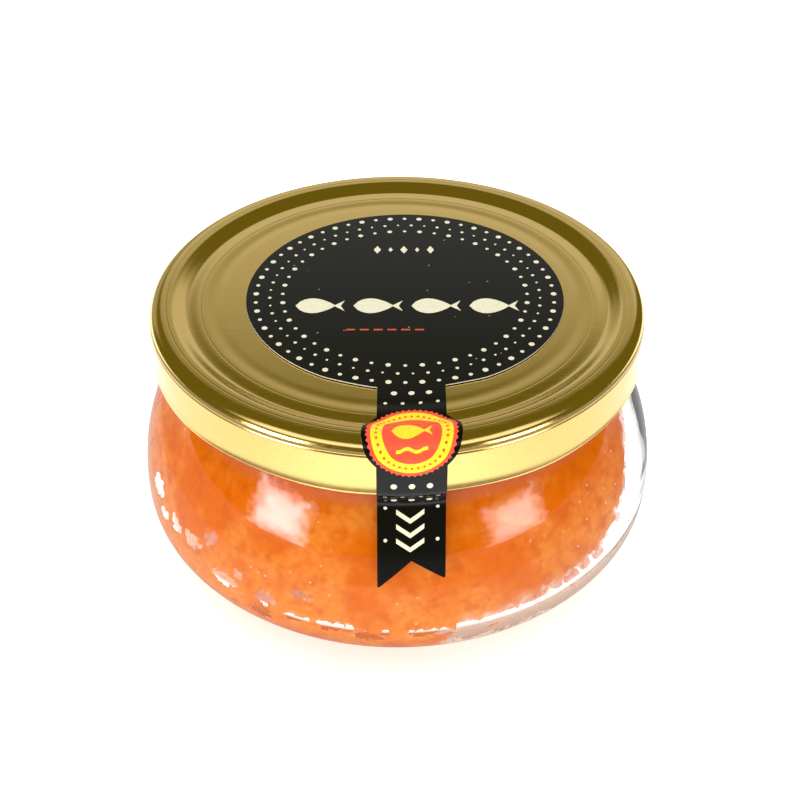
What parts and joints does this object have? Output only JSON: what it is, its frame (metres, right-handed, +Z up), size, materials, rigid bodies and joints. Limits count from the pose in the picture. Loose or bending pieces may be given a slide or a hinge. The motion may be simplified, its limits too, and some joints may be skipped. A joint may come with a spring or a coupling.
{
  "type": "jar of vendace roe",
  "caption": "Squat round-bellied clear glass jar packed with orange fish roe, shut by a gold lug cap; a plain black label runs from the cap down onto the glass.",
  "frame": {"origin": "middle of the base, on the surface the jar stands on", "axes": "+Z up; the label's strip faces -Y; +X to the right as seen from the front"},
  "size_m": [0.0924, 0.0924, 0.0511],
  "materials": {
    "glass": "clear soda-lime container glass, polished",
    "gold_tinplate": "satin gold lacquer over rolled tinplate",
    "roe": null,
    "label_black": "printed paper with a gloss film",
    "seal_print": "printed gloss sticker, yellow and coral red"
  },
  "bodies": {
    "root": {"glass_jar": "glass", "lug_cap": "gold_tinplate", "roe": "roe", "label": "label_black", "seal": "seal_print"}
  },
  "joints": []
}
